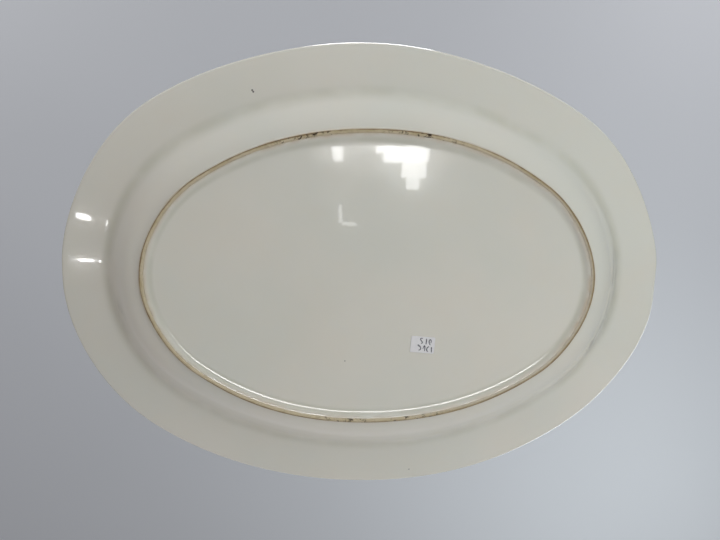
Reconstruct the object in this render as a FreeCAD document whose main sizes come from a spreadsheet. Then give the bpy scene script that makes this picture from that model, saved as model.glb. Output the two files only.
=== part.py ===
import FreeCAD, Part
import math
import os
import Sketcher

# China serving platter: a fired clay body with one section carried all round an oval, two islands
# of glaze fused to it, and a paper price sticker on the base.
#
# The frame: +Z up with the platter lying on its foot ring, face up. The origin is the middle of the
# foot ring's resting plane, +X runs along the oval and +Y across it.
#
# The oval has four arcs that meet in tangency, so every line drawn a constant distance in from the
# edge is four arcs about the same centres, and the section is the same at every place round it.
# A place on the section is given by its distance in from the edge (inset) and its height.

SIZES = [
    ("length", 406.0, "overall length of the oval"),
    ("width", 302.0, "overall width of the oval"),
    ("end_radius", 129.5, "radius of the oval's two end arcs, at the edge"),
    ("band", 74.0, "how far in from the edge the section is carried round"),
    ("glaze", 0.35, "thickness of the glaze"),
    ("floor_height", 9.0, "height of the well's glazed floor"),
    ("base_height", 3.2, "height of the glazed base inside the foot ring"),
    ("well_inset", 60.4, "centre of the round between the well's wall and its floor"),
    ("well_radius", 16.0, "round between the well's wall and its floor"),
    ("verge_inset", 28.8, "centre of the round where the flange turns down into the well"),
    ("verge_height", 18.3, "height of that centre"),
    ("verge_radius", 10.0, "round where the flange turns down into the well"),
    ("lip_height", 32.2, "height of the centre of the rounded edge"),
    ("lip_radius", 2.4, "round of the edge"),
    ("crease_inset", 26.0, "centre of the hollow where the flange's back meets the wall's back"),
    ("crease_height", 13.15, "height of that centre"),
    ("crease_radius", 11.0, "radius of that hollow"),
    ("booge_inset", 64.5, "centre of the wall's bulging back"),
    ("booge_height", 33.6, "height of that centre"),
    ("booge_radius", 31.5, "radius of the wall's bulging back"),
    ("cove_inset", 54.1, "centre of the cove between the wall's back and the foot ring"),
    ("cove_height", 1.7, "height of that centre"),
    ("cove_radius", 2.0, "radius of that cove"),
    ("foot_outer", 57.2, "centre of the foot ring's outer round"),
    ("foot_inner", 57.9, "centre of the foot ring's inner round"),
    ("foot_radius", 0.75, "rounds of the foot ring's bare edge"),
    ("bare_height", 0.9, "height up to which the glaze is wiped off the foot ring"),
    ("bare_inner", 58.95, "the clay's inner side at that height"),
    ("nook_inset", 64.4, "centre of the cove between the foot ring and the base"),
    ("nook_radius", 6.0, "radius of that cove"),
    ("label_length", 16.0, "price sticker, along"),
    ("label_width", 11.0, "price sticker, across"),
    ("label_corner", 0.8, "price sticker, corner radius"),
    ("label_paper", 0.14, "price sticker, thickness of the paper"),
    ("label_glue", 0.06, "thickness of the glue under the sticker"),
    ("label_along", 34.6, "where the sticker's middle is, along X"),
    ("label_across", 42.5, "where the sticker's middle is, along Y"),
    ("label_turn", 4.0, "how far the sticker is turned, in degrees"),
]

MOST_OVERLAP = 0.01     # cubic millimetres that two layers may share
MOST_GAP = 0.001        # millimetres that two layers may be apart
UPRIGHT = 0.99          # an edge whose direction has this much of Z or more counts as upright

CONVEX = -1     # the outline goes round it clockwise, with clay inside the round
CONCAVE = 1     # the outline goes round it anticlockwise, with air inside the round


class Size:
    """A number together with the expression on the sheet's cells that gives it."""

    def __init__(self, value, text):
        self.value = value
        self.text = text

    def join(self, other, sign, value):
        text = other.text if isinstance(other, Size) else str(other)
        return Size(value, f"({self.text} {sign} {text})")

    def __add__(self, other):
        return self.join(other, "+", self.value + number(other))

    def __sub__(self, other):
        return self.join(other, "-", self.value - number(other))

    def __mul__(self, other):
        return self.join(other, "*", self.value * number(other))

    def __truediv__(self, other):
        return self.join(other, "/", self.value / number(other))


def number(size):
    return size.value if isinstance(size, Size) else size


def fill_sheet(doc):
    """Puts the driving dimensions on a sheet, and returns them by name."""
    sheet = doc.addObject("Spreadsheet::Sheet", "Sizes")
    for row, (name, value, note) in enumerate(SIZES, start=1):
        sheet.set(f"A{row}", note)
        sheet.set(f"B{row}", str(value))
        sheet.setAlias(f"B{row}", name)
    doc.recompute()
    return {name: Size(sheet.get(name), f"Sizes.{name}") for name, _, _ in SIZES}


doc = FreeCAD.newDocument("serving_platter")
size = fill_sheet(doc)

half_length = size["length"] / 2
half_width = size["width"] / 2

# The four centres: the end arcs turn about (+-end_reach, 0), the side arcs about (0, -+side_reach).
end_radius = size["end_radius"]
end_reach = half_length - end_radius
side_radius = (end_reach * end_reach + half_width * half_width - end_radius * end_radius) \
    / ((half_width - end_radius) * 2)
side_reach = side_radius - half_width
end_turn = Size(
    2 * math.degrees(math.atan2(side_reach.value, end_reach.value)),
    f"(2 * atan2({side_reach.text}; {end_reach.text}))",
)
side_turn = Size(180 - end_turn.value, f"(180 deg - {end_turn.text})")


# ---------------------------------------------------------------- the section's outlines

def corner(inset, height):
    return {"inset": inset, "height": height, "radius": None, "turn": 0}


def rounding(inset, height, radius, turn, depth):
    """A round of the section, as the glazed surface has it or a glaze's thickness deeper."""
    if depth:
        radius = radius + depth if turn == CONCAVE else radius - depth
    return {"inset": inset, "height": height, "radius": radius, "turn": turn}


def face_stops(depth):
    """The face, from the well's floor out to the edge and over it."""
    floor = size["floor_height"] - depth if depth else size["floor_height"]
    well_height = size["floor_height"] + size["well_radius"]
    return [
        corner(size["band"], floor),
        rounding(size["well_inset"], well_height, size["well_radius"], CONCAVE, depth),
        rounding(size["verge_inset"], size["verge_height"], size["verge_radius"], CONVEX, depth),
        rounding(size["lip_radius"], size["lip_height"], size["lip_radius"], CONVEX, depth),
    ]


def back_stops(depth):
    """The back, from the edge in to where the bare foot ring begins."""
    wall = size["cove_inset"] + size["cove_radius"]
    return [
        rounding(size["crease_inset"], size["crease_height"], size["crease_radius"], CONCAVE, depth),
        rounding(size["booge_inset"], size["booge_height"], size["booge_radius"], CONVEX, depth),
        rounding(size["cove_inset"], size["cove_height"], size["cove_radius"], CONCAVE, depth),
        corner(wall + depth if depth else wall, size["bare_height"]),
    ]


def foot_stops():
    """The bare edge of the foot ring, which rests on the table."""
    radius = size["foot_radius"]
    return [
        rounding(size["foot_outer"], radius, radius, CONVEX, None),
        rounding(size["foot_inner"], radius, radius, CONVEX, None),
    ]


def base_stops(depth):
    """The base inside the foot ring, from the bare edge to the middle."""
    nook_height = size["base_height"] - size["nook_radius"]
    wall = size["bare_inner"] if depth else size["bare_inner"] + size["glaze"]
    base = size["base_height"] + depth if depth else size["base_height"]
    return [
        corner(wall, size["bare_height"]),
        rounding(size["nook_inset"], nook_height, size["nook_radius"], CONCAVE, depth),
        corner(size["band"], base),
    ]


def backwards(stops):
    """The same stops walked the other way, which swaps the side that each round turns to."""
    return [dict(stop, turn=-stop["turn"]) for stop in reversed(stops)]


glaze = size["glaze"]
CLAY_OUTLINE = face_stops(glaze) + back_stops(glaze) + foot_stops() + base_stops(glaze)
OUTER_GLAZE_OUTLINE = face_stops(None) + back_stops(None) + backwards(face_stops(glaze) + back_stops(glaze))
BASE_GLAZE_OUTLINE = base_stops(None) + backwards(base_stops(glaze))


# ---------------------------------------------------------------- sketches

def bind(sketch, kind, *arguments):
    """Adds a dimension to a sketch, and ties it to the sheet."""
    *where, size_given = arguments
    index = sketch.addConstraint(Sketcher.Constraint(kind, *where, size_given.value))
    sketch.setExpression(f"Constraints[{index}]", size_given.text)


def fix(sketch, kind, item, point, place):
    """Fixes a point of the sketch from its origin. A negative place is measured the other way."""
    if place.value < 0:
        bind(sketch, kind, item, point, -1, 1, place * -1)
    else:
        bind(sketch, kind, -1, 1, item, point, place)


def pin(sketch, item, point, across, up):
    """Fixes a point of the sketch both ways."""
    fix(sketch, "DistanceX", item, point, across)
    fix(sketch, "DistanceY", item, point, up)


def straight_between(first, second, reach):
    """The ends of the straight run that leaves one stop and meets the next in tangency."""
    places = [(reach - number(stop["inset"]), number(stop["height"])) for stop in (first, second)]
    bends = [stop["turn"] * number(stop["radius"]) if stop["radius"] else 0.0 for stop in (first, second)]
    across = places[1][0] - places[0][0]
    up = places[1][1] - places[0][1]
    heading = math.atan2(up, across) - math.asin((bends[1] - bends[0]) / math.hypot(across, up))
    left = (-math.sin(heading), math.cos(heading))
    return [
        FreeCAD.Vector(place[0] - bend * left[0], place[1] - bend * left[1], 0)
        for place, bend in zip(places, bends)
    ]


def draw_outline(sketch, stops, reach):
    """Draws a closed outline through the stops, with straight runs tangent to the rounds.

    reach is how far the edge is from the sketch's origin.
    """
    following = stops[1:] + stops[:1]
    runs = [straight_between(one, two, reach.value) for one, two in zip(stops, following)]
    lines = [sketch.addGeometry(Part.LineSegment(*run), False) for run in runs]
    for index, stop in enumerate(stops):
        arriving = lines[index - 1]
        leaving = lines[index]
        across = reach - stop["inset"]
        if stop["radius"] is None:
            sketch.addConstraint(Sketcher.Constraint("Coincident", arriving, 2, leaving, 1))
            pin(sketch, leaving, 1, across, stop["height"])
            continue
        middle = FreeCAD.Vector(across.value, stop["height"].value, 0)
        ends = [runs[index - 1][1], runs[index][0]]
        first, last = (1, 2) if stop["turn"] == CONCAVE else (2, 1)
        if stop["turn"] == CONVEX:
            ends.reverse()
        angles = [math.atan2(end.y - middle.y, end.x - middle.x) for end in ends]
        circle = Part.Circle(middle, FreeCAD.Vector(0, 0, 1), stop["radius"].value)
        arc = sketch.addGeometry(Part.ArcOfCircle(circle, *angles), False)
        sketch.addConstraint(Sketcher.Constraint("Tangent", arriving, 2, arc, first))
        sketch.addConstraint(Sketcher.Constraint("Tangent", arc, last, leaving, 1))
        pin(sketch, arc, 3, across, stop["height"])
        bind(sketch, "Radius", arc, stop["radius"])


def draw_axis(sketch, place):
    """Draws the upright axis that an arc of the oval turns about."""
    top = size["length"] / 4
    line = Part.LineSegment(FreeCAD.Vector(place.value, 0, 0), FreeCAD.Vector(place.value, top.value, 0))
    axis = sketch.addGeometry(line, True)
    sketch.addConstraint(Sketcher.Constraint("PointOnObject", axis, 1, -1))
    sketch.addConstraint(Sketcher.Constraint("Vertical", axis))
    bind(sketch, "DistanceY", axis, 1, axis, 2, top)
    fix(sketch, "DistanceX", axis, 1, place)


def draw_oval(sketch, inset):
    """Draws the four arcs of the oval, a given distance in from the edge."""
    limit = math.radians(end_turn.value / 2)
    arcs = []
    for quarter in range(4):
        if quarter % 2 == 0:
            radius = end_radius - inset
            middle = FreeCAD.Vector(end_reach.value * (1 - quarter), 0, 0)
            spread = limit
        else:
            radius = side_radius - inset
            middle = FreeCAD.Vector(0, side_reach.value * (quarter - 2), 0)
            spread = math.pi / 2 - limit
        facing = quarter * math.pi / 2
        circle = Part.Circle(middle, FreeCAD.Vector(0, 0, 1), radius.value)
        arc = sketch.addGeometry(Part.ArcOfCircle(circle, facing - spread, facing + spread), False)
        arcs.append(arc)
        bind(sketch, "Radius", arc, radius)
    for quarter, arc in enumerate(arcs):
        sketch.addConstraint(Sketcher.Constraint("Tangent", arc, 2, arcs[(quarter + 1) % 4], 1))
    for arc, along in ((arcs[0], end_reach), (arcs[2], end_reach * -1)):
        sketch.addConstraint(Sketcher.Constraint("PointOnObject", arc, 3, -1))
        fix(sketch, "DistanceX", arc, 3, along)


# ---------------------------------------------------------------- bodies

def origin_plane(body, role):
    return next(item for item in body.Origin.OriginFeatures if item.Role == role)


def new_sketch(body, name, role):
    sketch = body.newObject("Sketcher::SketchObject", f"{body.Name}_{name}")
    sketch.AttachmentSupport = [(origin_plane(body, role), "")]
    sketch.MapMode = "FlatFace"
    return sketch


def add_core(body, bottom, top):
    """The flat middle, inside the band that the section is carried round."""
    sketch = new_sketch(body, "core_outline", "XY_Plane")
    sketch.setExpression("AttachmentOffset.Base.z", bottom.text)
    draw_oval(sketch, size["band"])
    core = body.newObject("PartDesign::Pad", f"{body.Name}_core")
    core.Profile = sketch
    core.setExpression("Length", (top - bottom).text)
    doc.recompute()


def add_band(body, outline):
    """The section, turned about the four centres of the oval."""
    sections = (
        ("end", "XZ_Plane", half_length, end_reach, end_turn, "YZ_Plane"),
        ("side", "YZ_Plane", half_width, side_reach * -1, side_turn, "XZ_Plane"),
    )
    for name, plane, reach, axis_place, turn, mirror_plane in sections:
        sketch = new_sketch(body, f"{name}_section", plane)
        draw_outline(sketch, outline, reach)
        draw_axis(sketch, axis_place)
        doc.recompute()
        sector = body.newObject("PartDesign::Revolution", f"{body.Name}_{name}")
        sector.Profile = sketch
        sector.ReferenceAxis = (sketch, ["Axis0"])
        sector.Midplane = True
        sector.setExpression("Angle", turn.text)
        doc.recompute()
        mirrored = body.newObject("PartDesign::Mirrored", f"{body.Name}_{name}_mirrored")
        mirrored.Originals = [sector]
        mirrored.MirrorPlane = (origin_plane(body, mirror_plane), [""])
        body.Tip = mirrored
        doc.recompute()


def new_body(name):
    body = doc.addObject("PartDesign::Body", name)
    body.Label = name
    return body


def make_platter_body():
    """The fired clay: flange, well, foot ring and floor in one casting."""
    body = new_body("platter_body")
    add_core(body, size["base_height"] + glaze, size["floor_height"] - glaze)
    add_band(body, CLAY_OUTLINE)
    return body


def make_outer_glaze():
    """The glaze over the face, round the edge and down the back to the foot ring."""
    body = new_body("outer_glaze")
    add_core(body, size["floor_height"] - glaze, size["floor_height"])
    add_band(body, OUTER_GLAZE_OUTLINE)
    return body


def make_base_glaze():
    """The island of glaze inside the foot ring."""
    body = new_body("base_glaze")
    add_core(body, size["base_height"], size["base_height"] + glaze)
    add_band(body, BASE_GLAZE_OUTLINE)
    return body


def make_sticker_layer(name, thickness, height):
    """One layer of the price sticker: a rectangle with its corners rounded."""
    body = new_body(name)
    sketch = new_sketch(body, "outline", "XY_Plane")
    half_along = size["label_length"] / 2
    half_across = size["label_width"] / 2
    points = [
        FreeCAD.Vector(side * half_along.value, level * half_across.value, 0)
        for side, level in ((-1, -1), (1, -1), (1, 1), (-1, 1))
    ]
    sides = [
        sketch.addGeometry(Part.LineSegment(points[index], points[(index + 1) % 4]), False)
        for index in range(4)
    ]
    for index, side in enumerate(sides):
        sketch.addConstraint(Sketcher.Constraint("Coincident", side, 2, sides[(index + 1) % 4], 1))
        sketch.addConstraint(Sketcher.Constraint("Horizontal" if index % 2 == 0 else "Vertical", side))
    sketch.addConstraint(Sketcher.Constraint("Symmetric", sides[0], 1, sides[1], 2, -1, 1))
    bind(sketch, "DistanceX", sides[0], 1, sides[0], 2, size["label_length"])
    bind(sketch, "DistanceY", sides[1], 1, sides[1], 2, size["label_width"])
    layer = body.newObject("PartDesign::Pad", f"{name}_layer")
    layer.Profile = sketch
    layer.setExpression("Length", thickness.text)
    doc.recompute()
    upright = [
        f"Edge{index + 1}" for index, edge in enumerate(layer.Shape.Edges)
        if abs(edge.tangentAt(edge.FirstParameter).z) > UPRIGHT
    ]
    rounded = body.newObject("PartDesign::Fillet", f"{name}_corners")
    rounded.Base = (layer, upright)
    rounded.setExpression("Radius", size["label_corner"].text)
    body.setExpression("Placement.Base.x", size["label_along"].text)
    body.setExpression("Placement.Base.y", size["label_across"].text)
    body.setExpression("Placement.Base.z", height.text)
    body.Placement.Rotation = FreeCAD.Rotation(FreeCAD.Vector(0, 0, 1), size["label_turn"].value)
    body.setExpression("Placement.Rotation.Angle", size["label_turn"].text)
    doc.recompute()
    return body


def make_label_adhesive():
    """The film of glue between the sticker and the glazed base."""
    return make_sticker_layer("label_adhesive", size["label_glue"], size["base_height"] - size["label_glue"])


def make_price_label():
    """The paper of the price sticker, facing down."""
    height = size["base_height"] - size["label_glue"] - size["label_paper"]
    return make_sticker_layer("price_label", size["label_paper"], height)


# ---------------------------------------------------------------- checks and files

def check(pieces):
    """Stops on any failed feature, and on a piece that isn't one sound solid."""
    for item in doc.Objects:
        if "Invalid" in item.State or "Error" in item.State:
            raise RuntimeError(f"{item.Name} failed: {item.State}")
        if item.TypeId == "Sketcher::SketchObject" and not item.FullyConstrained:
            raise RuntimeError(f"{item.Name} is not fully constrained")
    for piece in pieces:
        shape = piece.Shape
        if shape.isNull() or not shape.isValid() or len(shape.Solids) != 1:
            raise RuntimeError(f"{piece.Label} is not one sound solid")
        box = shape.optimalBoundingBox(True, False)
        print(f"{piece.Label}: {box.XLength:.2f} x {box.YLength:.2f} x {box.ZLength:.2f} mm,"
              f" from z {box.ZMin:.2f}, volume {shape.Volume / 1000:.2f} cm3")


def check_layers(pairs):
    """Stops unless the two pieces of each pair lie on each other face to face."""
    for lower, upper in pairs:
        overlap = lower.Shape.common(upper.Shape).Volume
        gap = lower.Shape.distToShape(upper.Shape)[0]
        print(f"{lower.Label} and {upper.Label}: {overlap:.4f} mm3 shared, {gap:.4f} mm apart")
        if overlap > MOST_OVERLAP or gap > MOST_GAP:
            raise RuntimeError(f"{lower.Label} and {upper.Label} do not lie face to face")


clay = make_platter_body()
outer_coat = make_outer_glaze()
base_coat = make_base_glaze()
glue = make_label_adhesive()
sticker = make_price_label()
pieces = [clay, outer_coat, base_coat, glue, sticker]
doc.recompute()
check(pieces)
check_layers([(clay, outer_coat), (clay, base_coat), (base_coat, glue), (glue, sticker)])

os.makedirs("parts", exist_ok=True)
for piece in pieces:
    piece.Shape.exportStep(f"parts/{piece.Label}.step")
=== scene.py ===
import math
from collections import namedtuple

import bpy
import numpy as np
from mathutils import Matrix, Vector, noise


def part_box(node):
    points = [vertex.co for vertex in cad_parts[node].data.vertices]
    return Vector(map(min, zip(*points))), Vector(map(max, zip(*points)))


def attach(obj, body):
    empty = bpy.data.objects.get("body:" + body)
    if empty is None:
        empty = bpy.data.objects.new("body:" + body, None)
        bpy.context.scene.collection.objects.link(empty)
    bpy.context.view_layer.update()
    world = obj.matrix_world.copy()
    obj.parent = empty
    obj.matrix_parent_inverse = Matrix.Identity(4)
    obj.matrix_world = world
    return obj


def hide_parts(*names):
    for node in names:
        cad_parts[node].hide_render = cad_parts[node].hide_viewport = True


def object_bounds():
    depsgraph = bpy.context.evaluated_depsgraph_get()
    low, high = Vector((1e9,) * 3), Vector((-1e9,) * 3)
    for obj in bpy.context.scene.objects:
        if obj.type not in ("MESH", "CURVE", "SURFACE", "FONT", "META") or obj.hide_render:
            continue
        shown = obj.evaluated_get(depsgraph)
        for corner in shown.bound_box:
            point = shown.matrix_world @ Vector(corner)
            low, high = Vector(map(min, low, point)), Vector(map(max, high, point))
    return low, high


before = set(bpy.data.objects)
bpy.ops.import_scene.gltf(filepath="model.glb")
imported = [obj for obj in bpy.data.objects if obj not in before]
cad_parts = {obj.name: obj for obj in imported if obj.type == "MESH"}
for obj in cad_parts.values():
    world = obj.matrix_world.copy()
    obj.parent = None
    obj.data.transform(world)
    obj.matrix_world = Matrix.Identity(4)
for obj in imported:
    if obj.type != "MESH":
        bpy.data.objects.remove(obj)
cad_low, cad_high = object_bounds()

# The looks of the china serving platter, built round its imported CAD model. Everything is in metres.
#
# The platter lies face up on its foot ring. The main camera looks up at its underside, with -Y at
# the top of the picture. A place on the section is given by its distance in from the edge (inset)
# and its height, as in the CAD model, and a place round the oval by its station.

MM = 0.001

HALF_LENGTH = cad_high.x
HALF_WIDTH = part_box("outer_glaze")[1].y
HEIGHT = cad_high.z
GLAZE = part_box("outer_glaze")[1].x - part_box("platter_body")[1].x
FLOOR_HEIGHT = 9.0 * MM
BASE_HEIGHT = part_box("base_glaze")[1].z - GLAZE
BARE_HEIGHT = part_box("base_glaze")[0].z

END_RADIUS = 129.5 * MM         # the arcs at the two ends of the oval
BAND = 74.0 * MM                # how far in the section reaches; the middle inside it is flat

STATIONS = 480                  # places round the oval
ARC_STEP = math.radians(9)      # how finely the section's rounds are drawn
RUN_STEP = 3.0 * MM             # how finely the section's straight runs are drawn
CORE_RINGS = 16                 # rings between the band and the middle

CONVEX = -1
CONCAVE = 1


# ---------------------------------------------------------------- the oval

END_REACH = HALF_LENGTH - END_RADIUS
SIDE_RADIUS = (END_REACH ** 2 + HALF_WIDTH ** 2 - END_RADIUS ** 2) / (2 * (HALF_WIDTH - END_RADIUS))
SIDE_REACH = SIDE_RADIUS - HALF_WIDTH
END_TURN = math.atan2(SIDE_REACH, END_REACH)


def edge_places(count):
    """Places evenly spaced along the oval's edge, with the outward direction at each."""
    end_length = END_RADIUS * END_TURN
    side_length = SIDE_RADIUS * (math.pi / 2 - END_TURN)
    quarter = end_length + side_length
    distance = (np.arange(count) + 0.5) / count * 4 * quarter
    number = np.floor(distance / quarter).astype(int)
    within = distance - number * quarter
    odd = number % 2 == 1
    within = np.where(odd, quarter - within, within)
    on_end = within < end_length
    angle = np.where(
        on_end,
        within / END_RADIUS,
        END_TURN + (within - end_length) / SIDE_RADIUS,
    )
    radius = np.where(on_end, END_RADIUS, SIDE_RADIUS)
    middle_x = np.where(on_end, END_REACH, 0.0)
    middle_y = np.where(on_end, 0.0, -SIDE_REACH)
    flip_x = np.where((number == 1) | (number == 2), -1.0, 1.0)
    flip_y = np.where(number >= 2, -1.0, 1.0)
    outward = np.stack([np.cos(angle) * flip_x, np.sin(angle) * flip_y], axis=1)
    place = np.stack([
        (middle_x + radius * np.cos(angle)) * flip_x,
        (middle_y + radius * np.sin(angle)) * flip_y,
    ], axis=1)
    return place, outward


EDGE, OUTWARD = edge_places(STATIONS)
BEARING = np.arctan2(EDGE[:, 1] / HALF_WIDTH, EDGE[:, 0] / HALF_LENGTH)


# ---------------------------------------------------------------- the section

# A place where the outline turns: the centre of its round, or the corner itself where the radius is 0.
Stop = namedtuple("Stop", "inset height radius turn")


def corner(inset, height):
    """A sharp stop, in metres."""
    return Stop(inset, height, 0.0, 0)


def rounding(inset, height, radius, turn, depth=0.0):
    """A round stop in millimetres, whose outline lies a depth in metres under the surface."""
    return Stop(inset * MM, height * MM, radius * MM + depth * turn, turn)


def face_stops(depth):
    """The face, from the well's floor out to the edge and over it."""
    return [
        corner(BAND, FLOOR_HEIGHT - depth),
        rounding(60.4, 25.0, 16.0, CONCAVE, depth),     # the well's corner
        rounding(28.8, 18.3, 10.0, CONVEX, depth),      # the shoulder between the wall and the flange
        rounding(2.4, 32.2, 2.4, CONVEX, depth),        # the edge
    ]


def back_stops(depth):
    """The back, from the edge in to where the bare foot ring begins."""
    return [
        rounding(26.0, 13.15, 11.0, CONCAVE, depth),    # the crease
        rounding(64.5, 33.6, 31.5, CONVEX, depth),      # the bulging wall
        rounding(54.1, 1.7, 2.0, CONCAVE, depth),       # the cove outside the foot ring
        corner(56.1 * MM + depth, BARE_HEIGHT),
    ]


def foot_stops():
    """The bare edge of the foot ring."""
    return [
        rounding(57.2, 0.75, 0.75, CONVEX),
        rounding(57.9, 0.75, 0.75, CONVEX),
    ]


def base_stops(depth):
    """The base inside the foot ring, from the bare edge to the middle."""
    return [
        corner(59.3 * MM - depth, BARE_HEIGHT),
        rounding(64.4, -2.8, 6.0, CONCAVE, depth),      # the cove inside the foot ring
        corner(BAND, BASE_HEIGHT + depth),
    ]


def backwards(stops):
    """The same outline, from its other end."""
    return [stop._replace(turn=-stop.turn) for stop in reversed(stops)]


def tangent_runs(stops):
    """The two ends of each straight run, which is tangent to the rounds at both its stops."""
    runs = []
    for one, two in zip(stops, stops[1:]):
        across = one.inset - two.inset
        up = two.height - one.height
        bends = (one.turn * one.radius, two.turn * two.radius)
        heading = math.atan2(up, across) - math.asin((bends[1] - bends[0]) / math.hypot(across, up))
        left = (-math.sin(heading), math.cos(heading))
        runs.append([
            (stop.inset + bend * left[0], stop.height - bend * left[1])
            for stop, bend in zip((one, two), bends)
        ])
    return runs


def round_points(stop, arriving, leaving):
    """Points along a stop's round, from where the outline arrives to where it leaves."""
    first = math.atan2(arriving[1] - stop.height, stop.inset - arriving[0])
    last = math.atan2(leaving[1] - stop.height, stop.inset - leaving[0])
    sweep = (last - first) * stop.turn % (2 * math.pi) * stop.turn
    steps = max(2, math.ceil(abs(sweep) / ARC_STEP))
    angles = [first + sweep * step / steps for step in range(steps + 1)]
    return [
        (stop.inset - stop.radius * math.cos(angle), stop.height + stop.radius * math.sin(angle))
        for angle in angles
    ]


def run_points(start, finish):
    """Points between the two ends of a straight run."""
    steps = max(1, math.ceil(math.dist(start, finish) / RUN_STEP))
    shares = [step / steps for step in range(1, steps)]
    return [tuple(a + (b - a) * share for a, b in zip(start, finish)) for share in shares]


def trace(stops):
    """Points along the outline through the stops."""
    runs = tangent_runs(stops)
    points = []
    for index, stop in enumerate(stops):
        arriving = runs[index - 1][1] if index else None
        leaving = runs[index][0] if index < len(runs) else None
        if stop.radius and arriving and leaving:
            points += round_points(stop, arriving, leaving)
        else:
            points.append(leaving or arriving)
        if leaving:
            points += run_points(*runs[index])
    return np.array(points)


# ---------------------------------------------------------------- unevenness of the hand and the kiln

def wave(turns, phase):
    """A wave that runs a number of times round the oval, its crest at the phase, in degrees."""
    return np.cos(turns * BEARING - math.radians(phase))


def held_in(pull):
    """Softens an outward push of the edge, so that it stays inside the oval's length and width."""
    spare = np.array([HALF_LENGTH, HALF_WIDTH]) - np.abs(EDGE)
    room = np.maximum(np.min(spare / np.maximum(np.abs(OUTWARD), 1e-6), axis=1), 1e-9)
    return np.where(pull > 0, room * (1 - np.exp(-np.maximum(pull, 0.0) / room)), pull)


# The edge bends softly in and out as it goes round.
EDGE_BENDS = 0.4 * wave(2, 75) + 0.3 * wave(3, 25) + 0.4 * wave(5, 45)
EDGE_BENDS += 0.5 * wave(6, 25) + 0.5 * wave(7, 95) + 0.3 * wave(8, 20)
EDGE_PULL = held_in(EDGE_BENDS * MM)
# The flange has sunk a little in the kiln, here more and there less, so it is never above the CAD's.
EDGE_SWAY = 0.3 * wave(2, 40) + 0.2 * wave(3, 160) + 0.1 * wave(5, 250)
EDGE_DIP = (EDGE_SWAY - EDGE_SWAY.max() - 0.01) * MM
# The foot ring was trimmed by hand.
FOOT_DRIFT = (1.2 * wave(2, 195) + 0.3 * wave(4, 45) + 0.7 * wave(6, 355)) * MM
FOOT_INSET = 57.7 * MM          # the middle of the foot ring

BASE_SAG = 0.5 * MM             # how far the base and the floor sag between the foot ring's sides
SAG_INSET = 60 * MM             # where the sag begins
LUMP = 0.05 * MM                # the height of the soft lumps of the glazed surface


def smooth(values, low, high):
    """A smooth step from 0 at low to 1 at high."""
    share = np.clip((values - low) / (high - low), 0.0, 1.0)
    return share * share * (3 - 2 * share)


def place_band(outline, wander=None):
    """The section's points at every station, as an array of station, point and coordinate."""
    inset = outline[:, 0][None, :]
    height = np.repeat(outline[:, 1][None, :], STATIONS, axis=0)
    near_edge = 1 - smooth(inset, 6 * MM, 46 * MM)
    near_foot = np.exp(-((inset - FOOT_INSET) / (9 * MM)) ** 2) * (height < 12 * MM)
    shift = EDGE_PULL[:, None] * near_edge + FOOT_DRIFT[:, None] * near_foot
    height = height + EDGE_DIP[:, None] * (1 - smooth(inset, 0.0, 44 * MM))
    if wander is not None:
        height = height + wander
    plan = EDGE[:, None, :] - OUTWARD[:, None, :] * (inset - shift)[:, :, None]
    return np.concatenate([plan, height[:, :, None]], axis=2)


def sag_at(plan):
    """How far the base and floor have sagged at a place."""
    along = plan[..., 0] / (HALF_LENGTH - SAG_INSET)
    across = plan[..., 1] / (HALF_WIDTH - SAG_INSET)
    reach = along ** 2 + across ** 2
    return -BASE_SAG * np.clip(1 - reach, 0.0, 1.0) ** 1.5


def ripple_at(places, scale, seed):
    """A soft ripple from -1 to 1, with a value for each place."""
    offset = Vector((seed * 7.3, seed * 3.1, seed * 5.7))
    return np.array([noise.noise(Vector(place) / scale + offset) for place in places])


def lumps_at(places):
    """The height of the glaze's soft lumps, the same on the face and the back."""
    flat = places * np.array([1, 1, 0])
    lumps = ripple_at(flat, 42 * MM, 3) + 0.12 * ripple_at(flat, 15 * MM, 4)
    return np.minimum(lumps, 0.4) * LUMP


# ---------------------------------------------------------------- meshes

def cap_rings(ring):
    """Rings that close the flat middle inside a ring of the band, and its middle point."""
    shares = np.linspace(1.0, 0.0, CORE_RINGS + 1)[1:-1]
    plan = ring[None, :, :2] * shares[:, None, None]
    height = np.broadcast_to(ring[None, :, 2] - sag_at(ring[:, :2]), plan.shape[:2]).mean(axis=1)
    rings = np.concatenate([plan, (height[:, None] + sag_at(plan))[:, :, None]], axis=2)
    middle = np.array([[0.0, 0.0, height[-1] + sag_at(np.zeros(2))]])
    return rings, middle


def shell_rows(outline, wander):
    """The shell's points in rows round the oval, its two middle points, and each row's inset."""
    band = place_band(outline, wander)
    band[:, :, 2] += sag_at(band[:, :, :2]) * (np.abs(outline[:, 0]) > SAG_INSET)[None, :]
    first_rings, first_middle = cap_rings(band[:, 0])
    last_rings, last_middle = cap_rings(band[:, -1])
    rows = np.concatenate([first_rings[::-1], np.swapaxes(band, 0, 1), last_rings], axis=0)
    middles = np.concatenate([first_middle, last_middle])
    insets = np.concatenate([
        np.full(len(first_rings), BAND),
        outline[:, 0],
        np.full(len(last_rings), BAND),
    ])
    return rows, middles, insets


def shell_faces(row_count):
    """Four-sided faces between the rows, and a fan of triangles round each middle point."""
    row = np.arange(row_count - 1)[:, None] * STATIONS
    here = np.arange(STATIONS)[None, :]
    beside = (here + 1) % STATIONS
    quads = np.stack([row + here, row + beside, row + STATIONS + beside, row + STATIONS + here], axis=2)
    start = row_count * STATIONS
    end = start + 1
    last = start - STATIONS
    ring = np.arange(STATIONS)
    around = (ring + 1) % STATIONS
    faces = [tuple(quad) for quad in quads.reshape(-1, 4)]
    faces += [(start, b, a) for a, b in zip(ring, around)]
    faces += [(end, last + a, last + b) for a, b in zip(ring, around)]
    return faces


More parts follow.
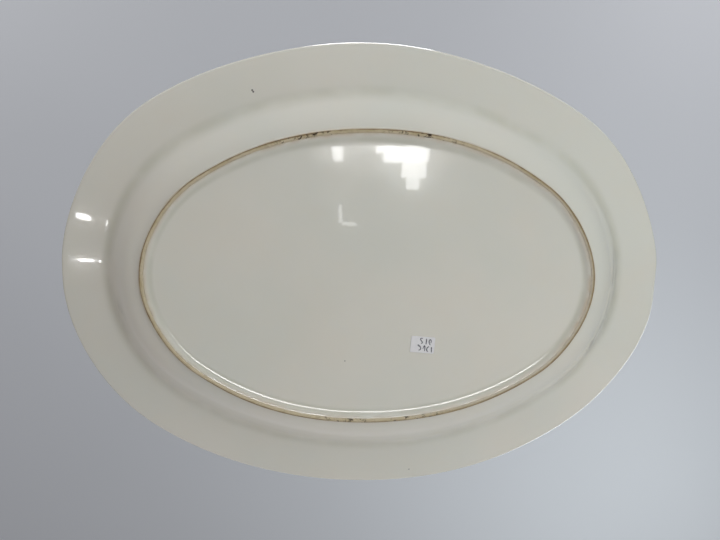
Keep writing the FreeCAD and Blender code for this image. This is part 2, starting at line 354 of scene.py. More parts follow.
def shell_mesh(name, outline, wander=None):
    """A closed mesh: the outline carried round the oval, with a flat middle at both its ends."""
    rows, middles, insets = shell_rows(outline, wander)
    points = np.concatenate([rows.reshape(-1, 3), middles])
    insets = np.concatenate([np.repeat(insets, STATIONS), [BAND, BAND]])
    # The lumps fade out on the foot ring and towards the top of the edge.
    lumpy = smooth(points[:, 2], 1.6 * MM, 3.0 * MM)
    lumpy *= smooth(-points[:, 2], -HEIGHT + 0.1 * MM, -HEIGHT + 3 * MM)
    points[:, 2] += lumps_at(points) * lumpy
    return finish_mesh(name, points, shell_faces(len(rows)), {"inset": insets / MM})


def finish_mesh(name, points, faces, attributes=None):
    """An object from points and faces, with a number for each point under each attribute's name."""
    mesh = bpy.data.meshes.new(name)
    points = [tuple(point) for point in points]
    faces = [tuple(int(index) for index in face) for face in faces]
    mesh.from_pydata(points, [], faces)
    for key, values in (attributes or {}).items():
        layer = mesh.attributes.new(key, "FLOAT", "POINT")
        layer.data.foreach_set("value", np.asarray(values, np.float32))
    mesh.shade_smooth()
    mesh.update()
    mesh.validate()
    piece = bpy.data.objects.new(name, mesh)
    bpy.context.scene.collection.objects.link(piece)
    return piece


def hand_in(piece, node, material):
    """Makes a piece stand for its CAD node, with its own material."""
    piece.data.materials.append(material)
    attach(piece, "root")
    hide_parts(node)


# ---------------------------------------------------------------- materials

class Surface:
    """A material under construction. Each method adds a node and returns its output."""

    def __init__(self, name):
        self.material = bpy.data.materials.new(name)
        self.material.use_nodes = True
        self.tree = self.material.node_tree
        self.tree.nodes.clear()
        self.shader = self.tree.nodes.new("ShaderNodeBsdfPrincipled")
        output = self.tree.nodes.new("ShaderNodeOutputMaterial")
        self.tree.links.new(self.shader.outputs[0], output.inputs["Surface"])
        self.place = self.tree.nodes.new("ShaderNodeTexCoord").outputs["Object"]

    def feed(self, node, name, value):
        """Links another node's output to a socket, or sets the socket to a plain value."""
        socket = node.inputs[name]
        if isinstance(value, bpy.types.NodeSocket):
            self.tree.links.new(value, socket)
        else:
            socket.default_value = value

    def set(self, **values):
        """Sets the shader's own sockets, named with _ for a space."""
        for name, value in values.items():
            self.feed(self.shader, name.replace("_", " "), value)

    def noise(self, scale, detail=3.0, roughness=0.5, distortion=0.0, stretch=None, shift=0.0):
        """Soft noise with features about 1/scale metres across, from 0 to 1."""
        node = self.tree.nodes.new("ShaderNodeTexNoise")
        where = self.place
        if stretch or shift:
            mapping = self.tree.nodes.new("ShaderNodeMapping")
            self.feed(mapping, "Vector", self.place)
            mapping.inputs["Scale"].default_value = stretch or (1, 1, 1)
            mapping.inputs["Location"].default_value = (shift, shift * 0.7, -shift)
            where = mapping.outputs[0]
        self.feed(node, "Vector", where)
        self.feed(node, "Scale", scale)
        self.feed(node, "Detail", detail)
        self.feed(node, "Roughness", roughness)
        self.feed(node, "Distortion", distortion)
        return node.outputs["Fac"]

    def cells(self, scale):
        """Voronoi cells about 1/scale metres across, as the whole node."""
        node = self.tree.nodes.new("ShaderNodeTexVoronoi")
        self.feed(node, "Vector", self.place)
        self.feed(node, "Scale", scale)
        return node

    def math(self, operation, *values, clamp=False):
        node = self.tree.nodes.new("ShaderNodeMath")
        node.operation = operation
        node.use_clamp = clamp
        for index, value in enumerate(values):
            self.feed(node, index, value)
        return node.outputs[0]

    def ramp(self, value, low, high, to_low=0.0, to_high=1.0):
        """A smooth step from to_low at low up to to_high at high."""
        node = self.tree.nodes.new("ShaderNodeMapRange")
        node.interpolation_type = "SMOOTHSTEP"
        self.feed(node, "Value", value)
        self.feed(node, "From Min", low)
        self.feed(node, "From Max", high)
        self.feed(node, "To Min", to_low)
        self.feed(node, "To Max", to_high)
        return node.outputs[0]

    def band(self, value, middle, width):
        """1 at a value, falling to 0 on both sides of it."""
        away = self.math("ABSOLUTE", self.math("SUBTRACT", value, middle))
        return self.ramp(away, 0.0, width, 1.0, 0.0)

    def product(self, *values):
        result = values[0]
        for value in values[1:]:
            result = self.math("MULTIPLY", result, value)
        return result

    def sum(self, *values):
        result = values[0]
        for value in values[1:]:
            result = self.math("ADD", result, value)
        return result

    def mix(self, share, one, two):
        """The first colour, with a share of the second."""
        node = self.tree.nodes.new("ShaderNodeMix")
        node.data_type = "RGBA"
        self.feed(node, 0, share)
        self.feed(node, 6, one)
        self.feed(node, 7, two)
        return node.outputs[2]

    def attribute(self, name):
        """A number that the mesh carries at each of its points."""
        node = self.tree.nodes.new("ShaderNodeAttribute")
        node.attribute_name = name
        return node.outputs["Fac"]

    def height(self):
        """The height above the ground, in metres."""
        node = self.tree.nodes.new("ShaderNodeSeparateXYZ")
        self.feed(node, 0, self.place)
        return node.outputs[2]

    def near(self, x, y, reach, rim=0.0):
        """1 round a place, in metres as seen from straight above, falling to 0 at its reach."""
        level = self.tree.nodes.new("ShaderNodeVectorMath")
        level.operation = "MULTIPLY"
        self.feed(level, 0, self.place)
        level.inputs[1].default_value = (1, 1, 0)
        away = self.tree.nodes.new("ShaderNodeVectorMath")
        away.operation = "DISTANCE"
        self.feed(away, 0, level.outputs[0])
        away.inputs[1].default_value = (x, y, 0)
        return self.ramp(away.outputs["Value"], reach * rim, reach, 1.0, 0.0)

    def facing_down(self):
        """1 where the surface faces the ground, 0 on the face of the platter."""
        node = self.tree.nodes.new("ShaderNodeNewGeometry")
        parts = self.tree.nodes.new("ShaderNodeSeparateXYZ")
        self.feed(parts, 0, node.outputs["True Normal"])
        return self.ramp(parts.outputs[2], 0.05, -0.15)

    def bump(self, *layers):
        """Lays height fields, each with its depth in metres, one over another."""
        normal = None
        for height, depth in layers:
            node = self.tree.nodes.new("ShaderNodeBump")
            self.feed(node, "Height", height)
            self.feed(node, "Distance", depth)
            self.feed(node, "Strength", 1.0)
            if normal:
                self.feed(node, "Normal", normal)
            normal = node.outputs[0]
        self.set(Normal=normal)


def colour(red, green, blue):
    """A display colour, from 0 to 255, as the linear colour that a shader takes."""
    return tuple((channel / 255) ** 2.2 for channel in (red, green, blue)) + (1.0,)


CREAM = colour(238, 233, 218)
CREAM_COOL = colour(232, 230, 216)
CREAM_WARM = colour(238, 227, 208)
POOLED = colour(196, 194, 171)
TEA = colour(202, 172, 132)
IRON = colour(52, 38, 28)
SCUFF_AND_SHADE_GREY = colour(120, 118, 116)
CLAY = colour(206, 192, 162)
CLAY_PALE = colour(212, 198, 170)
CLAY_MILKY = colour(216, 207, 190)
CLAY_OLIVE = colour(140, 122, 82)
CLAY_DARK = colour(176, 158, 116)
CLAY_BROWN = colour(122, 98, 62)
CLAY_DIRT = colour(64, 50, 34)
PAPER = colour(238, 236, 236)
PAPER_GRUBBY = colour(214, 212, 216)
INK = colour(58, 60, 74)
GLUE = colour(226, 218, 190)
GLUE_YELLOWED = colour(204, 190, 150)
FLOOR_PALE = colour(236, 236, 236)
FLOOR_GREY = colour(228, 229, 230)
SHEET_PALE = colour(226, 229, 236)
SHEET_GREY = colour(220, 223, 230)

# Places as (along, across, reach), in millimetres, and for the scuffs and the painted crease shade a
# strength.
TEA_PATCHES = ((-139, 34, 9), (-131, 47, 8), (-117, 62, 9), (-90, 77, 7), (104, -64, 7))
SPECKS_ON_FLANGE = ((-78.9, -117.7, 0.75), (-78.2, -116.7, 0.75), (33.4, 140.8, 0.5))
SPECKS_ON_BASE = ((-16.1, 54.0, 0.45),)
DIRTY_STRETCHES = ((-45, -87, 30), (28, -91, 34), (-15, 91, 22), (31, 88, 24))
SCUFFED_AND_SHADED_ENDS = ((166, 4, 36, 1.0), (160, 40, 26, 1.0), (-162, 28, 18, 0.35))


def specks(surface, scale, share, radius):
    """Sparse round specks: a share of the cells holds one of the given radius, in cell widths."""
    cells = surface.cells(scale)
    chosen = surface.tree.nodes.new("ShaderNodeSeparateColor")
    surface.feed(chosen, 0, cells.outputs["Color"])
    picked = surface.math("LESS_THAN", chosen.outputs[0], share)
    dot = surface.ramp(cells.outputs["Distance"], radius * 0.6, radius, 1.0, 0.0)
    return surface.product(picked, dot)


def cream_tint(surface):
    """Cream, with soft cool clouds and a warm haze."""
    cloud = surface.ramp(surface.noise(9.0, 3.0), 0.35, 0.65)
    haze = surface.ramp(surface.noise(26.0, 4.0, shift=3.1), 0.40, 0.72)
    tint = surface.mix(cloud, CREAM, CREAM_COOL)
    return surface.mix(surface.product(haze, 0.22), tint, CREAM_WARM)


def add_tea_stain(surface, tint, inset, height):
    """Stain that creeps under the glaze from the bare foot ring, most of all at the picture's low left."""
    creep = surface.ramp(surface.noise(70.0, 5.0, 0.62, shift=1.7), 0.30, 0.58)
    patch = surface.ramp(surface.noise(16.0, 3.0, shift=6.2), 0.42, 0.66, 0.45, 1.0)
    for x, y, reach in TEA_PATCHES:
        patch = surface.math("MAXIMUM", patch, surface.near(x * MM, y * MM, reach * MM))
    near_foot = surface.band(inset, FOOT_INSET / MM, 4.6)
    low = surface.ramp(height, 4.5 * MM, 2.2 * MM)
    return surface.mix(surface.product(near_foot, low, creep, patch, 0.80), tint, TEA)


def add_pooled_glaze(surface, tint, inset, height, on_base):
    """Glaze that has pooled, a little greener, in the cove of the base or in the crease of the back."""
    if on_base:
        pooled = surface.band(inset, 62.6, 3.0)
    else:
        on_back = surface.ramp(height, 25.0 * MM, 23.5 * MM)
        pooled = surface.product(surface.band(inset, 32.0, 7.0), on_back)
    uneven = surface.ramp(surface.noise(34.0, 2.0, shift=9.4), 0.30, 0.60, 0.35, 1.0)
    return surface.mix(surface.product(pooled, uneven, 0.40), tint, POOLED)


def add_iron_specks(surface, tint, places):
    """Iron in the clay that shows through as small dark dots, scattered and at places underneath."""
    iron = surface.sum(specks(surface, 28.0, 0.02, 0.0075), specks(surface, 75.0, 0.012, 0.012))
    for x, y, reach in places:
        dot = surface.near(x * MM, y * MM, reach * MM, 0.5)
        iron = surface.sum(iron, surface.product(dot, surface.facing_down()))
    return surface.mix(surface.math("MULTIPLY", iron, 0.92, clamp=True), tint, IRON)


def add_scuffs_and_crease_shade(surface, tint, inset):
    """Metal-grey scuffs that stacked plates have left on the back, beside the crease at its two ends, and a
    broad grey smudge there that is partly scuffing and partly painted shade in the crease.
    """
    ends = surface.sum(*(
        surface.product(surface.near(x * MM, y * MM, reach * MM), strength)
        for x, y, reach, strength in SCUFFED_AND_SHADED_ENDS
    ))
    scuffed_and_shaded = surface.product(surface.facing_down(), surface.math("MINIMUM", ends, 1.0))
    cloudy = surface.ramp(surface.noise(40.0, 3.0, 0.6, stretch=(1.0, 0.5, 1.0), shift=4.4), 0.30, 0.60)
    # A broad soft grey smudge by the crease: partly scuffing, partly painted shade of the crease.
    smudge_and_painted_shade = surface.product(surface.band(inset, 35.5, 8.0), cloudy, scuffed_and_shaded)
    tint = surface.mix(surface.product(smudge_and_painted_shade, 0.26), tint, SCUFF_AND_SHADE_GREY)
    # Thin grey streaks: real scuffs, within the same scuffed and shaded places.
    streaky = surface.ramp(surface.noise(150.0, 5.0, 0.66, 0.5, stretch=(1.0, 0.22, 1.0)), 0.40, 0.62)
    worn = surface.product(surface.band(inset, 36.5, 7.5), streaky, scuffed_and_shaded)
    return surface.mix(surface.product(worn, 0.50), tint, SCUFF_AND_SHADE_GREY)


def add_gloss(surface):
    """A glassy coat, dulled a little by smears and fine rubbing, with soft dimples and pinholes."""
    smear = surface.ramp(surface.noise(38.0, 5.0, 0.6, 0.6, stretch=(1.0, 1.7, 1.0), shift=2.0), 0.40, 0.70)
    rub = surface.ramp(surface.noise(420.0, 3.0, 0.6, stretch=(1.0, 0.12, 1.0), shift=5.0), 0.58, 0.70)
    surface.set(
        Roughness=surface.sum(0.12, surface.product(smear, 0.05), surface.product(rub, 0.05)),
        IOR=1.5,
        Subsurface_Weight=0.12,
        Subsurface_Radius=(0.0030, 0.0022, 0.0014),
        Subsurface_Scale=1.0,
        Coat_Weight=0.80,
        Coat_Roughness=0.02,
        Coat_IOR=1.5,
    )
    pinholes = surface.math("SUBTRACT", 1.0, specks(surface, 140.0, 0.10, 0.07))
    surface.bump(
        (surface.noise(22.0, 2.0, shift=8.0), 0.00018),
        (surface.noise(190.0, 2.0, shift=1.0), 0.000014),
        (pinholes, 0.00006),
    )


def glaze_material(name, on_base):
    """Cream glaze over a pale body: gloss, soft unevenness, stains by the foot ring, specks, scuffs, and
    painted shade in the crease at its two ends.
    """
    surface = Surface(name)
    inset = surface.attribute("inset")
    height = surface.height()
    tint = cream_tint(surface)
    tint = add_tea_stain(surface, tint, inset, height)
    tint = add_pooled_glaze(surface, tint, inset, height, on_base)
    tint = add_iron_specks(surface, tint, SPECKS_ON_BASE if on_base else SPECKS_ON_FLANGE)
    if not on_base:
        tint = add_scuffs_and_crease_shade(surface, tint, inset)
    surface.set(Base_Color=tint)
    add_gloss(surface)
    return surface.material


def thin_bare_line(surface, tint, inset):
    """Leaves a milky smear of glaze on the inner half at the right-hand end, so the line looks thin."""
    right_end = surface.near(190 * MM, 40 * MM, 190 * MM, 0.5)
    milky = surface.product(surface.band(inset, 58.75, 1.9), right_end)
    tint = surface.mix(surface.product(milky, 0.80), tint, CLAY_MILKY)
    thin = surface.product(surface.band(inset, 57.1, 1.5), right_end)
    return surface.mix(surface.product(thin, 0.70), tint, CLAY_OLIVE)


def add_brown_line(surface, tint, inset):
    """Old dirt along the outer side of the bare edge, here stronger, there weaker."""
    uneven = surface.product(surface.noise(140.0, 4.0, 0.6, shift=3.0), 1.2)
    wandering = surface.sum(inset, uneven, -0.6)
    strength = surface.ramp(surface.noise(30.0, 4.0, 0.6, shift=7.0), 0.34, 0.60, 0.30, 1.0)
    line = surface.product(surface.band(wandering, 56.7, 1.0), strength)
    return surface.mix(surface.product(line, 0.90), tint, CLAY_BROWN)


def add_grit(surface, tint):
    """Black grit, caught in the pores and mostly along four stretches of the long sides."""
    grit = surface.ramp(surface.noise(320.0, 6.0, 0.7, 0.5, shift=5.0), 0.50, 0.60)
    thick = 0.10
    for x, y, reach in DIRTY_STRETCHES:
        thick = surface.math("MAXIMUM", thick, surface.near(x * MM, y * MM, reach * MM, 0.3))
    return surface.mix(surface.product(grit, thick), tint, CLAY_DIRT)


def clay_material():
    """Bare fired clay, dry and grainy, browned by years of dirty water and shelves."""
    surface = Surface("fired_clay")
    inset = surface.attribute("inset")
    blotch = surface.ramp(surface.noise(55.0, 5.0, 0.65), 0.38, 0.70)
    tint = surface.mix(surface.product(blotch, 0.7), CLAY, CLAY_DARK)
    tint = surface.mix(surface.product(surface.band(inset, 58.9, 1.1), 0.6), tint, CLAY_PALE)
    tint = thin_bare_line(surface, tint, inset)
    tint = add_brown_line(surface, tint, inset)
    tint = add_grit(surface, tint)
    grain = surface.noise(900.0, 4.0, 0.7, shift=2.0)
    surface.set(
        Base_Color=tint,
        Roughness=surface.ramp(grain, 0.3, 0.7, 0.72, 0.92),
        IOR=1.45,
    )
    surface.bump((surface.noise(160.0, 4.0, 0.6), 0.00016), (grain, 0.00005))
    return surface.material


def paper_material():
    """Matt sticker paper with fibres, slightly grubby."""
    surface = Surface("label_paper")
    fibre = surface.noise(2400.0, 5.0, 0.7, 0.6, stretch=(1.0, 0.5, 1.0))
    grubby = surface.ramp(surface.noise(170.0, 4.0, 0.6, shift=3.0), 0.42, 0.75)
    surface.set(
        Base_Color=surface.mix(surface.product(grubby, 0.35), PAPER, PAPER_GRUBBY),
        Roughness=surface.ramp(fibre, 0.3, 0.7, 0.70, 0.86),
        Subsurface_Weight=0.05,
        Subsurface_Radius=(0.0004, 0.0004, 0.0005),
    )
    surface.bump((fibre, 0.00002), (surface.noise(260.0, 2.0), 0.00006))
    return surface.material


def ink_material():
    """Grey-blue ballpoint ink."""
    surface = Surface("label_ink")
    skips = surface.ramp(surface.noise(1500.0, 3.0, 0.6), 0.40, 0.70)
    surface.set(
        Base_Color=surface.mix(surface.product(skips, 0.4), INK, PAPER),
        Roughness=surface.ramp(skips, 0.0, 1.0, 0.45, 0.70),
    )
    surface.bump((skips, 0.00001))
    return surface.material


def glue_material():
    """Old clear glue, yellowed at its edge."""
    surface = Surface("label_glue")
    age = surface.ramp(surface.noise(400.0, 3.0), 0.35, 0.65)
    surface.set(
        Base_Color=surface.mix(age, GLUE, GLUE_YELLOWED),
        Roughness=surface.ramp(age, 0.0, 1.0, 0.35, 0.55),
    )
    surface.bump((surface.noise(900.0, 2.0), 0.00001))
    return surface.material


# ---------------------------------------------------------------- the platter's pieces

OUTER_SKIN = face_stops(0.0) + back_stops(0.0)
OUTER_BED = backwards(face_stops(GLAZE) + back_stops(GLAZE))
BASE_SKIN = base_stops(0.0)
BASE_BED = base_stops(GLAZE)
CLAY_SKIN = face_stops(GLAZE) + back_stops(GLAZE) + foot_stops() + base_stops(GLAZE)


def make_clay():
    piece = shell_mesh("platter_clay", trace(CLAY_SKIN))
    hand_in(piece, "platter_body", clay_material())


def wiped_edge(outline, seed):
    """How far the glaze's end wanders up and down where it was wiped off the foot ring."""
    shift = np.array([
        noise.noise(Vector((*place, 0)) / (9 * MM) + Vector((seed, 0, 0)))
        + 0.6 * noise.noise(Vector((*place, 0)) / (2.6 * MM) + Vector((0, seed, 0)))
        for place in EDGE
    ])
    near_end = 1 - smooth(np.abs(outline[:, 1] - BARE_HEIGHT), 0.05 * MM, 0.35 * MM)
    return shift[:, None] * near_end[None, :] * 0.28 * MM


def make_outer_glaze():
    outline = np.concatenate([trace(OUTER_SKIN), trace(OUTER_BED)])
    piece = shell_mesh("glaze_outside", outline, wiped_edge(outline, 4.0))
    hand_in(piece, "outer_glaze", glaze_material("cream_glaze", False))


def make_base_glaze():
    outline = np.concatenate([trace(backwards(BASE_SKIN)), trace(BASE_BED)])
    piece = shell_mesh("glaze_base", outline, wiped_edge(outline, 9.0))
    hand_in(piece, "base_glaze", glaze_material("cream_glaze_base", True))


make_clay()
make_outer_glaze()
make_base_glaze()


# ---------------------------------------------------------------- the price sticker

LABEL_LOW, LABEL_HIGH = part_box("price_label")
LABEL_MIDDLE = (LABEL_LOW + LABEL_HIGH) / 2
LABEL_TURN = math.radians(4.0)
LABEL_LENGTH = 16.0 * MM
LABEL_WIDTH = 11.0 * MM
LABEL_CORNER = 0.8 * MM
LABEL_COLUMNS = 44      # steps of the sticker's mesh along it
LABEL_ROWS = 30         # and across it
PAPER_THICKNESS = 0.14 * MM
GLUE_THICKNESS = 0.06 * MM
INK_THICKNESS = 0.015 * MM

PEN_WIDTH = 0.70 * MM
PEN_SWEEP = 1.75 * MM           # half the height of a mark
MARKS_IN_ROWS = (3, 4)
STEPS_IN_MARK = 22


def base_height_at(places):
    """The height of the glazed base, with its sag and its lumps, at each place."""
    return BASE_HEIGHT + sag_at(places[:, :2]) + lumps_at(places)


def on_label(local, drop):
    """Takes places on the sticker to the row's frame, a given drop below the glazed base."""
    cosine, sine = math.cos(LABEL_TURN), math.sin(LABEL_TURN)
    places = np.zeros((len(local), 3))
    places[:, 0] = LABEL_MIDDLE.x + local[:, 0] * cosine - local[:, 1] * sine
    places[:, 1] = LABEL_MIDDLE.y + local[:, 0] * sine + local[:, 1] * cosine
    places[:, 2] = base_height_at(places) - drop
    return places


def sticker_grid(inset):
    """Places that fill a rectangle with rounded corners, set in from the sticker's outline."""
    across = np.linspace(-1, 1, LABEL_COLUMNS + 1)
    down = np.linspace(-1, 1, LABEL_ROWS + 1)
    grid = np.stack(np.meshgrid(across, down), axis=2).reshape(-1, 2)
    half = np.array([LABEL_LENGTH / 2 - inset, LABEL_WIDTH / 2 - inset])
    places = grid * half
    core = half - LABEL_CORNER
    over = np.clip(np.abs(places) - core, 0.0, None)
    both = (over[:, 0] > 0) & (over[:, 1] > 0)
    longest = np.max(over, axis=1)
    length = np.maximum(np.hypot(over[:, 0], over[:, 1]), 1e-9)
    rounded = over * (longest / length)[:, None]
    places[both] = (np.sign(places) * (core + rounded))[both]
    return places


def layer_faces():
    """The faces of a closed layer: its two sheets, one after the other, and the rim between them."""
    width = LABEL_COLUMNS + 1
    count = width * (LABEL_ROWS + 1)
    faces = []
    for row in range(LABEL_ROWS):
        for column in range(LABEL_COLUMNS):
            start = row * width + column
            corners = [start, start + 1, start + 1 + width, start + width]
            faces.append(corners)
            faces.append([count + index for index in reversed(corners)])
    rim = list(range(width))
    rim += [row * width + LABEL_COLUMNS for row in range(1, LABEL_ROWS + 1)]
    rim += [LABEL_ROWS * width + column for column in range(LABEL_COLUMNS - 1, -1, -1)]
    rim += [row * width for row in range(LABEL_ROWS - 1, 0, -1)]
    for one, two in zip(rim, rim[1:] + rim[:1]):
        faces.append([two, one, count + one, count + two])
    return faces


def sticker_layer(name, inset, top_drop, bottom_drop, curl):
    """One closed layer of the sticker, between two drops below the base, with its corners curled."""
    local = sticker_grid(inset)
    reach = np.abs(local) / np.array([LABEL_LENGTH / 2, LABEL_WIDTH / 2])
    lift = smooth(reach[:, 0] * reach[:, 1], 0.62, 1.0) * curl
    ripple = ripple_at(np.column_stack([local, np.zeros(len(local))]), 5 * MM, 17) * curl * 0.25
    sheets = [on_label(local, drop + lift + ripple) for drop in (top_drop, bottom_drop)]
    return finish_mesh(name, np.concatenate(sheets), layer_faces())


def pen_stroke(path, width):
    """A closed flat ribbon along a path on the sticker."""
    path = np.array(path)
    ahead = np.gradient(path, axis=0)
    ahead /= np.maximum(np.hypot(ahead[:, 0], ahead[:, 1]), 1e-9)[:, None]
    side = np.stack([-ahead[:, 1], ahead[:, 0]], axis=1)
    taper = width / 2 * (0.55 + 0.45 * np.sin(np.linspace(0.25, math.pi - 0.15, len(path))))
    paper_face = GLUE_THICKNESS + PAPER_THICKNESS
    edges = []
    for direction in (-1, 1):
        for drop in (paper_face, paper_face + INK_THICKNESS):
            edges.append(on_label(path + side * direction * taper[:, None], drop))
    points = np.stack([edges[0], edges[2], edges[3], edges[1]], axis=1).reshape(-1, 3)
    faces = []
    for step in range(len(path) - 1):
        for turn in range(4):
            one, two = step * 4 + turn, step * 4 + (turn + 1) % 4
            faces.append([one, two, two + 4, one + 4])
    last = (len(path) - 1) * 4
    faces.append([3, 2, 1, 0])
    faces.append([last, last + 1, last + 2, last + 3])
    return points, faces


def pen_mark(row, mark):
    """The path of one short tick or hook, each bent a little differently."""
    steps = np.linspace(0, 1, STEPS_IN_MARK)
    swing = 1.1 + 0.5 * math.sin(5 * mark + 2 * row)
    turn = 2.2 + 1.3 * math.cos(3 * mark + row)
    bend = 1.1 + 0.25 * ((mark + row) % 3)
    middle_x = (-1.2 + 2.9 * mark - 1.1 * row) * MM
    middle_y = (-2.6 + 4.6 * row + 0.3 * mark) * MM
    x = middle_x + swing * MM * (0.75 * np.sin(turn * steps * 2 + mark) + 0.3 * steps)
    y = middle_y + PEN_SWEEP * np.cos(math.pi * steps * bend)
    return np.column_stack([x, y])


def make_pen_marks():
    """Two rows of short ticks and hooks in place of a handwritten note.

    From a distance some of them can be taken for characters: this is an open fault.
    """
    points, faces = [], []
    start = 0
    for row, count in enumerate(MARKS_IN_ROWS):
        for mark in range(count):
            ribbon_points, ribbon_faces = pen_stroke(pen_mark(row, mark), PEN_WIDTH)
            points.append(ribbon_points)
            faces += [[start + index for index in face] for face in ribbon_faces]
            start += len(ribbon_points)
    piece = finish_mesh("label_pen_marks", np.concatenate(points), faces)
    piece.data.materials.append(ink_material())
    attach(piece, "root")


def make_label():
    glue = sticker_layer("label_glue_film", 0.15 * MM, 0.0, GLUE_THICKNESS, 0.0)
    hand_in(glue, "label_adhesive", glue_material())
    paper = sticker_layer("label_sheet", 0.0, GLUE_THICKNESS, GLUE_THICKNESS + PAPER_THICKNESS, 0.05 * MM)
    hand_in(paper, "price_label", paper_material())
    make_pen_marks()


make_label()


# ---------------------------------------------------------------- stage, light and camera

FLOOR_DROP = 0.5 * MM           # just under the foot ring, so that the two never share a plane
FLOOR_SIZE = 40.0
BACKDROP_HEIGHT = 3.0
BACKDROP_SIZE = 7.0


def plane(name, size, height, facing_up):
    """A square of the stage, centred on the platter."""
    half = size / 2
    corners = [(-half, -half, height), (half, -half, height), (half, half, height), (-half, half, height)]
    if not facing_up:
        corners.reverse()
    piece = finish_mesh(name, corners, [(0, 1, 2, 3)])
    return piece


def make_floor():
    """A pale floor that is there only from above, so that the underside can be looked at."""
    surface = Surface("studio_floor")
    surface.set(
        Base_Color=surface.mix(surface.noise(3.0, 2.0), FLOOR_PALE, FLOOR_GREY),
        Roughness=0.9,
    )
    tree = surface.tree
    clear = tree.nodes.new("ShaderNodeBsdfTransparent")
    side = tree.nodes.new("ShaderNodeNewGeometry")
    choice = tree.nodes.new("ShaderNodeMixShader")
    tree.links.new(side.outputs["Backfacing"], choice.inputs[0])
    tree.links.new(surface.shader.outputs[0], choice.inputs[1])
    tree.links.new(clear.outputs[0], choice.inputs[2])
    output = next(node for node in tree.nodes if node.type == "OUTPUT_MATERIAL")
    tree.links.new(choice.outputs[0], output.inputs["Surface"])
    floor = plane("studio_floor", FLOOR_SIZE, -FLOOR_DROP, True)
    floor.data.materials.append(surface.material)
    floor.visible_shadow = False
    floor.visible_diffuse = False
    floor.visible_glossy = False
    floor.visible_transmission = False


def make_backdrop():
    """The pale sheet behind the platter, as the main camera sees it."""
    surface = Surface("studio_backdrop")
    surface.set(
        Base_Color=surface.mix(surface.noise(0.8, 2.0), SHEET_PALE, SHEET_GREY),
        Roughness=0.95,
    )
    sheet = plane("studio_backdrop", BACKDROP_SIZE, BACKDROP_HEIGHT, False)
    sheet.data.materials.append(surface.material)


WHITE = (1.0, 1.0, 1.0)


def area_light(name, place, aim, width, height, power, tint=WHITE, shines=True, lights=True):
    """A rectangular lamp, which shines in reflections, lights surfaces softly, or does both."""
    light = bpy.data.lights.new(name, "AREA")
    light.shape = "RECTANGLE"
    light.size = width
    light.size_y = height
    light.energy = power
    light.color = tint
    lamp = bpy.data.objects.new(name, light)
    lamp.location = place
    lamp.rotation_mode = "QUATERNION"
    lamp.rotation_quaternion = (Vector(aim) - Vector(place)).to_track_quat("-Z", "Y")
    lamp.visible_camera = False
    lamp.visible_glossy = shines
    lamp.visible_diffuse = lights
    bpy.context.scene.collection.objects.link(lamp)


ROOM_BASE = (0.03, 0.03, 0.03)
# Each side of the room that glows: its direction, how sharply the glow falls off, and its colour.
ROOM_GLOWS = (
    ((-1, 0, 0), 1.0, (0.12, 0.10, 0.10)),
    ((0, 1, 0), 2.0, (0.57, 0.55, 0.55)),
    ((0, -1, 0), 2.0, (0.56, 0.58, 0.59)),
    ((0, 0, -1), 1.0, (0.07, 0.07, 0.07)),
    ((0, 0, 1), 1.0, (0.40, 0.41, 0.42)),
)


def math_node(tree, kind, operation, source, *values):
    """A node that works on another node's output and, after it, on plain values."""
    node = tree.nodes.new(kind)
    node.operation = operation
    tree.links.new(source, node.inputs[0])
    for index, value in enumerate(values, 1):
        node.inputs[index].default_value = value
    return node


def make_room():
    """A soft pale room that glows from its long sides and overhead, and a little pinkly at the left."""
    world = bpy.data.worlds.new("soft_room")
    world.use_nodes = True
    tree = world.node_tree
    heading = tree.nodes.new("ShaderNodeTexCoord").outputs["Generated"]
    total = None
    for direction, sharpness, glow in ROOM_GLOWS:
        facing = math_node(tree, "ShaderNodeVectorMath", "DOT_PRODUCT", heading, direction)
        ahead = math_node(tree, "ShaderNodeMath", "MAXIMUM", facing.outputs["Value"], 0.0)
        share = math_node(tree, "ShaderNodeMath", "POWER", ahead.outputs[0], sharpness)
        part = math_node(tree, "ShaderNodeVectorMath", "MULTIPLY_ADD", share.outputs[0], glow, ROOM_BASE)
        if total:
            tree.links.new(total, part.inputs[2])
        total = part.outputs[0]
    background = tree.nodes["Background"]
    tree.links.new(total, background.inputs["Color"])
    background.inputs["Strength"].default_value = 1.0
    bpy.context.scene.world = world


WINDOW_DEPTH = -2.0
WINDOW_GLOW = 34.0      # watts for each square metre

# The panes of two windows behind the camera, partly hidden by what stands before them: the left,
# right, far and near side of each, and its brightness.
WINDOW_PANES = (
    (0.220, 0.390, -0.440, -0.095, 1.1),
    (0.192, 0.220, -0.440, -0.126, 1.1),
    (0.150, 0.192, -0.440, -0.165, 1.0),
    (0.390, 0.412, -0.440, -0.142, 0.9),
    (0.290, 0.383, -0.095, -0.043, 0.9),
    (0.310, 0.358, -0.043, -0.003, 0.8),
    (0.005, 0.140, -0.440, -0.168, 1.1),
    (0.022, 0.080, -0.165, -0.135, 1.0),
    (0.042, 0.078, -0.135, -0.100, 1.0),
    (0.064, 0.078, 0.062, 0.128, 0.45),
    (0.078, 0.135, 0.122, 0.137, 0.45),
)


def make_windows():
    for number, (left, right, far, near, share) in enumerate(WINDOW_PANES):
        place = ((left + right) / 2, (far + near) / 2, WINDOW_DEPTH)
        power = WINDOW_GLOW * (right - left) * (near - far) * share
        name = f"window_pane_{number + 1}"
        aim = (place[0], place[1], 0)
        area_light(name, place, aim, right - left, near - far, power, lights=False)


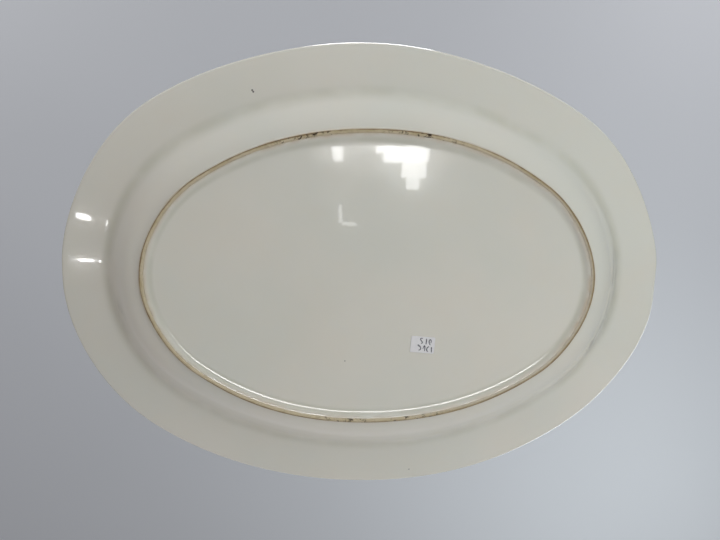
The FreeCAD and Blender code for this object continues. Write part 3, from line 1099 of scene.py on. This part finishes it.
def make_lights():
    """Soft lamps and two sparks below for the underside, three lamps for the sheet, two for the face."""
    middle = (0, 0, 0.015)
    area_light("soft_top", (0.0, -1.2, -0.9), middle, 1.2, 1.2, 6.0, (0.98, 1.0, 1.02), False)
    area_light("soft_left", (-0.9, -0.8, -1.0), middle, 1.2, 1.2, 1.3, shines=False)
    area_light("soft_right", (0.5, -0.15, -0.45), middle, 0.4, 0.4, 0.87, (0.97, 1.0, 1.02), False)
    area_light("soft_low", (0.35, 0.45, -0.45), middle, 0.4, 0.4, 1.00, (0.97, 1.0, 1.03), False)
    area_light("grazing_right", (1.1, 0.1, -0.15), middle, 0.6, 0.6, 0.5, (0.8, 1.0, 1.15), False)
    area_light("spark_high", (-1.49, -0.084, -1.45), middle, 0.03, 0.03, 0.10, lights=False)
    area_light("spark_low", (-1.51, 0.245, -1.44), middle, 0.03, 0.05, 0.2, lights=False)
    area_light("sheet_low_right", (1.8, 1.7, 1.2), (1.4, 1.3, 3.0), 1.5, 1.5, 15.5, (0.95, 1.03, 1.02))
    area_light("sheet_high_right", (2.2, -1.6, 1.2), (1.76, -1.28, 3.0), 1.5, 1.5, 16.5)
    area_light("sheet_high_left", (-2.2, -1.8, 1.2), (-1.76, -1.44, 3.0), 1.5, 1.5, 16.5, (1.0, 1.0, 0.98))
    area_light("key_above", (0.15, -1.45, 1.25), middle, 0.7, 0.7, 15.5)
    area_light("fill_above", (1.2, 0.9, 1.3), middle, 1.2, 0.8, 8.6)


CAMERA_PLACE = Vector((-43.5, -77.2, -438.0)) * MM
CAMERA_AIM = Vector((-8.3, -6.8, 0.0)) * MM
CAMERA_ROLL = math.radians(-1.8)
CAMERA_LENS = 35.0


def make_camera():
    """Looks up at the underside, square on but for a slight tilt, from arm's length."""
    camera = bpy.data.cameras.new("main_camera")
    camera.lens = CAMERA_LENS
    camera.sensor_width = 36.0
    camera.clip_start = 0.01
    camera.clip_end = 50.0
    holder = bpy.data.objects.new("main_camera", camera)
    ahead = (CAMERA_AIM - CAMERA_PLACE).normalized()
    level = ahead.cross(Vector((0, -1, 0))).normalized()
    down = ahead.cross(level)
    right = level * math.cos(CAMERA_ROLL) + down * math.sin(CAMERA_ROLL)
    down = ahead.cross(right)
    turned = Matrix((right, -down, -ahead)).transposed()
    holder.matrix_world = Matrix.Translation(CAMERA_PLACE) @ turned.to_4x4()
    bpy.context.scene.collection.objects.link(holder)
    bpy.context.scene.camera = holder


make_floor()
make_backdrop()
make_room()
make_windows()
make_lights()
make_camera()
bpy.context.scene.view_settings.view_transform = "Standard"
